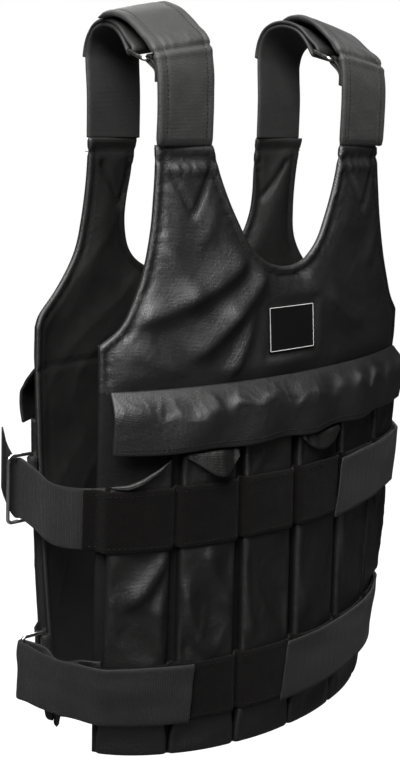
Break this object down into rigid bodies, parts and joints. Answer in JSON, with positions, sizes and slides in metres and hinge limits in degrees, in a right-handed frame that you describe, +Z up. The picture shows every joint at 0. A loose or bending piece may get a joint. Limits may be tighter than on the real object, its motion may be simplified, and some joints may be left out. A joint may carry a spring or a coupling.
{
  "type": "weighted vest",
  "caption": "Padded exercise vest with pocketed front and back panels, storm flaps, loop bands, side straps through wire rings and padded shoulder straps.",
  "frame": {"origin": "level with the undersides of the two shoulder straps at their crowns, midway between the straps and between the panels", "axes": "+Z up as worn, -Y out of the wearer's chest, +X towards the wearer's left side"},
  "size_m": [0.408, 0.2065, 0.6],
  "materials": {
    "nylon": "black coated nylon with a soft satin sheen on its folds",
    "pad": "dark grey woven nylon over foam, fine ribbed weave",
    "loop": "black brushed loop pile, matt",
    "webbing": "charcoal ribbed elastic webbing, matt",
    "binding": "black folded edge binding tape",
    "thread": "dark grey sewing thread",
    "metal": "bright nickel-plated wire",
    "label": "black woven patch with a thin pale border line, otherwise bare"
  },
  "bodies": {
    "root": {"front_panel": "nylon", "front_pocket_1": "nylon", "front_pocket_2": "nylon", "front_pocket_3": "nylon", "front_pocket_4": "nylon", "front_pocket_5": "nylon", "front_pocket_6": "nylon", "front_flap": "nylon", "front_upper_band": "loop", "front_lower_band": "loop", "back_panel": "nylon", "back_pocket_1": "nylon", "back_pocket_2": "nylon", "back_pocket_3": "nylon", "back_pocket_4": "nylon", "back_pocket_5": "nylon", "back_pocket_6": "nylon", "back_flap": "nylon", "back_upper_band": "loop", "back_lower_band": "loop", "upper_right_ring": "metal", "upper_right_ring_tab": "webbing", "upper_right_strap": "webbing", "lower_right_ring": "metal", "lower_right_ring_tab": "webbing", "lower_right_strap": "webbing", "right_shoulder_pad": "pad", "right_shoulder_strap": "webbing", "right_shoulder_ring": "metal", "right_shoulder_ring_tab": "webbing", "upper_left_ring": "metal", "upper_left_ring_tab": "webbing", "upper_left_strap": "webbing", "lower_left_ring": "metal", "lower_left_ring_tab": "webbing", "lower_left_strap": "webbing", "left_shoulder_pad": "pad", "left_shoulder_strap": "webbing", "left_shoulder_ring": "metal", "left_shoulder_ring_tab": "webbing", "label_patch": "label"}
  },
  "joints": []
}
